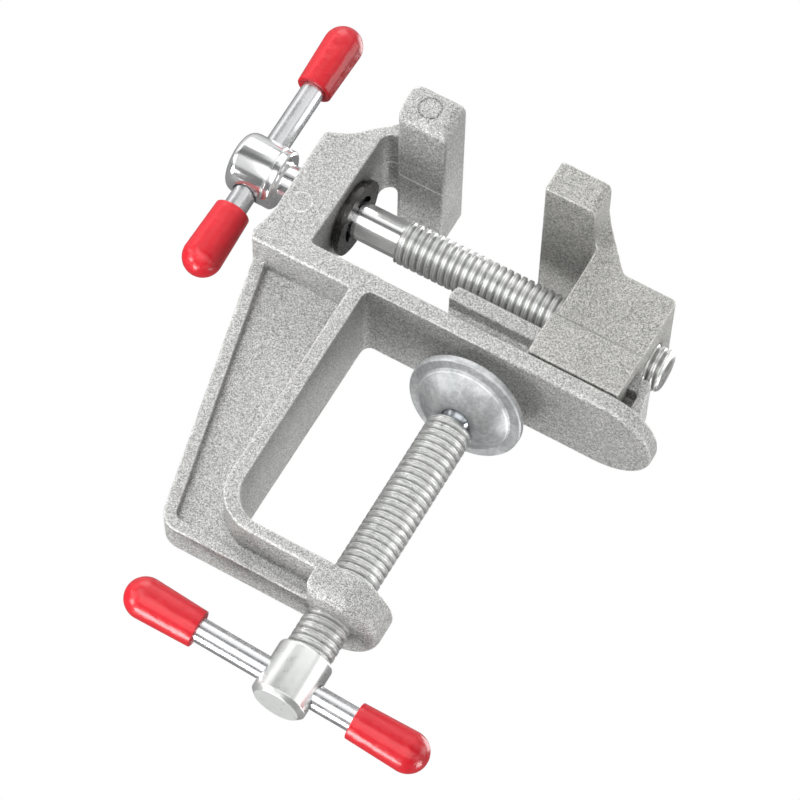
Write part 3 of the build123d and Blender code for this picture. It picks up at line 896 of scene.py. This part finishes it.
def uneven_skin(seed):
    """Radius of a dipped skin that swells and shrinks a little, but not in the bore."""
    phases = np.random.default_rng(seed).uniform(0, FULL_TURN, len(CAP_WAVES))

    def radius(s, r, angle):
        if r < CAP_EVEN_R:
            return r
        swell = CAP_SWELL_BASE
        for (lobes, twist, height), phase in zip(CAP_WAVES, phases):
            swell += height * math.sin(lobes * angle + phase + twist * s)
        return r * (1 - CAP_SWELL * swell)

    return radius


def cap(name, free, place, seed, body, node):
    """Dipped soft cap with a thin rolled lip, on the bar's end along the place's axis."""
    mouth = free / 2
    bore_end = mouth + BAR_IN_CAP
    crown = mouth + CAP_LENGTH - CAP_R
    lip = [(mouth + past, r, rounding) for past, r, rounding in CAP_LIP]
    path = rounded([(bore_end, 0, 0), (bore_end, CAP_BORE_R, 0), *lip, (crown, CAP_R, 0)], steps=5)
    path += sphere_path(CAP_R, CAP_R, crown, steps=16)[1:]
    obj = turned(name, path, place, segments=64, shape=uneven_skin(seed))
    smooth(obj.data, CAP_CREASE)
    dress(obj, [vinyl_look], body, node)


def blackened(node):
    """A CAD piece that keeps its shape and turns black."""
    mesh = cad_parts[node].data
    mesh.materials.clear()
    mesh.materials.append(black_look)


# Camera and lights


def camera_turn():
    """Turn whose columns are the camera's right, up and back towards the viewer."""
    swing = Matrix.Rotation(math.radians(CAMERA_SWING), 4, "Z")
    tilt = Matrix.Rotation(math.radians(CAMERA_TILT), 4, "X")
    return swing @ tilt @ Matrix.Rotation(math.radians(CAMERA_ROLL), 4, "Z")


def camera():
    """Camera at the photograph's viewing angle."""
    data = bpy.data.cameras.new("camera")
    data.lens = CAMERA_LENS
    data.sensor_width = CAMERA_SENSOR
    data.clip_start, data.clip_end = CAMERA_CLIP
    obj = bpy.data.objects.new("camera", data)
    scene.collection.objects.link(obj)
    obj.matrix_world = Matrix.Translation(CAMERA_PLACE * MM) @ camera_turn()
    scene.camera = obj


def lamp(name, seen_from, distance, side, power, mirrored):
    """Square soft box in a direction as the camera sees it, aimed at the object."""
    data = bpy.data.lights.new(name, "AREA")
    data.size = side
    data.energy = power
    obj = bpy.data.objects.new(name, data)
    scene.collection.objects.link(obj)
    toward = (camera_turn() @ Vector(seen_from)).normalized()
    obj.location = toward * distance + LAMP_AIM
    obj.rotation_mode = "QUATERNION"
    obj.rotation_quaternion = toward.to_track_quat("Z", "Y")
    obj.visible_glossy = mirrored


def band(sky, angle, low, high, soft):
    """1 inside a band of directions."""
    rise = sky.fade(angle, math.radians(low - soft), math.radians(low + soft))
    fall = sky.fade(angle, math.radians(high - soft), math.radians(high + soft), start=1, end=0)
    return sky.times(rise, fall)


def mirrored_studio(sky):
    """Brightness that polished steel sees: brighter from high in front, with windows and dark screens."""
    direction = sky.add("ShaderNodeTexCoord").outputs["Generated"]
    x, y, z = sky.parts(direction)
    front = sky.times(y, -1.0)
    angles = {"tilt": sky.math("ARCTAN2", z, front), "swing": sky.math("ARCTAN2", x, front)}
    toward = sky.vector("DOT_PRODUCT", direction, MIRROR_TOWARD)
    level = sky.fade(toward, low=-0.2, high=0.7, start=0.2, end=0.76)
    for axis, low, high, soft, strength in WINDOWS:
        level = sky.weighted(level, (band(sky, angles[axis], low, high, soft), strength))
    for axis, low, high, soft, strength in SCREENS:
        shade = sky.times(band(sky, angles[axis], low, high, soft), strength)
        level = sky.times(level, sky.minus(1.0, shade))
    return level


def backdrop(sky, strength):
    """White background of some strength."""
    return sky.add("ShaderNodeBackground", Color=WHITE, Strength=strength).outputs[0]


def studio():
    """World: soft light all round, the mirrored studio for glossy rays, and white for the camera."""
    world = bpy.data.worlds.new("studio")
    world.use_nodes = True
    scene.world = world
    sky = Nodes(world.node_tree)
    rays = sky.add("ShaderNodeLightPath").outputs
    mirrored = backdrop(sky, mirrored_studio(sky))
    lit = sky.mix_shader(rays["Is Glossy Ray"], backdrop(sky, SOFT_LIGHT), mirrored)
    shown = sky.mix_shader(rays["Is Camera Ray"], lit, backdrop(sky, 1.0))
    sky.add("ShaderNodeOutputWorld", Surface=shown)


def floor_material():
    """Pale floor that the camera sees as white and that mirrored rays pass."""
    look = bpy.data.materials.new("pale_floor")
    look.use_nodes = True
    nodes = Nodes(look.node_tree)
    pale = nodes.add("ShaderNodeBsdfPrincipled", Base_Color=(0.86, 0.86, 0.86, 1), Roughness=0.6).outputs[0]
    white = nodes.add("ShaderNodeEmission", Strength=1.0).outputs[0]
    clear = nodes.add("ShaderNodeBsdfTransparent").outputs[0]
    rays = nodes.add("ShaderNodeLightPath").outputs
    seen = nodes.mix_shader(rays["Is Camera Ray"], pale, white)
    nodes.add("ShaderNodeOutputMaterial", Surface=nodes.mix_shader(rays["Is Glossy Ray"], seen, clear))
    return look


def floor():
    """Floor below the object."""
    mesh = bpy.data.meshes.new("floor")
    corners = [(-1, -1), (1, -1), (1, 1), (-1, 1)]
    mesh.from_pydata([(x * FLOOR_HALF, y * FLOOR_HALF, 0) for x, y in corners], [], [(0, 1, 2, 3)])
    mesh.materials.append(floor_material())
    obj = link("floor", mesh)
    obj.location.z = FLOOR_Z


# Materials
body_look = casting_material("body_aluminium", tint=(1.01, 1.01, 0.99), seam_light=0.45)
jaw_look = casting_material("jaw_aluminium", tint=(0.90, 0.895, 0.855), seam_light=0.1)
polished_look = polished_material()
bar_look = drawn_material("bar_steel", dark=(0.62, 0.63, 0.65, 1), light=(0.80, 0.80, 0.81, 1))
# The ball is a darker copy of the drawn steel: painted shade on the ball where it sits in the pad's socket.
ball_shaded_look = drawn_material("ball_steel", dark=(0.22, 0.24, 0.26, 1), light=(0.42, 0.44, 0.46, 1))
lead_thread_look = thread_material("lead_thread_steel", lead_axes, mark_weight=0.2)
clamp_thread_look = thread_material("clamp_thread_steel", clamp_axes, mark_weight=0.55)
satin_look = satin_material()
pad_look = pad_material()
black_look = black_material()
vinyl_look = vinyl_material()

# Places of the two cross holes and of the bars in them
lead_turn = Matrix.Rotation(math.radians(-LEAD_BAR_TURN), 4, "X")
lead_hole = Matrix.Translation((LEAD_BAR_X, 0, LEAD_Z)) @ lead_turn
lead_place = lead_hole @ Matrix.Translation((0, 0, LEAD_BAR_SHIFT))
clamp_turn = Matrix.Rotation(math.radians(CLAMP_BAR_TURN), 4, "Z")
clamp_hole = Matrix.Translation((0, 0, CLAMP_BAR_Z)) @ clamp_turn @ Matrix.Rotation(math.pi / 2, 4, "Y")
clamp_place = clamp_hole @ Matrix.Translation((0, 0, CLAMP_BAR_SHIFT))
other_end = Matrix.Rotation(math.pi, 4, "Y")

# All pieces
casting("body_casting", "cast_body", BODY_VOXEL, body_look, "frame")
casting("moving_jaw", "cast_jaw", JAW_VOXEL, jaw_look, "moving_jaw")
lead_screw(lead_hole)
clamp_screw(clamp_hole)
clamp_ball()
clamp_pad()
bar("lead_bar_drawn", LEAD_FREE, lead_place, "lead_bar", "lead_bar")
cap("lead_cap_top", LEAD_FREE, lead_place, 1, "lead_bar", "lead_cap_upper")
cap("lead_cap_base", LEAD_FREE, lead_place @ other_end, 2, "lead_bar", "lead_cap_lower")
bar("clamp_bar_drawn", CLAMP_FREE, clamp_place, "clamp_bar", "clamp_bar")
cap("clamp_cap_far", CLAMP_FREE, clamp_place, 3, "clamp_bar", "clamp_cap_right")
cap("clamp_cap_near", CLAMP_FREE, clamp_place @ other_end, 4, "clamp_bar", "clamp_cap_left")
blackened("thrust_washer")
blackened("retaining_ring")

# Stage
camera()
for lamp_values in LAMPS:
    lamp(*lamp_values)
studio()
floor()

scene.view_settings.view_transform = "Standard"
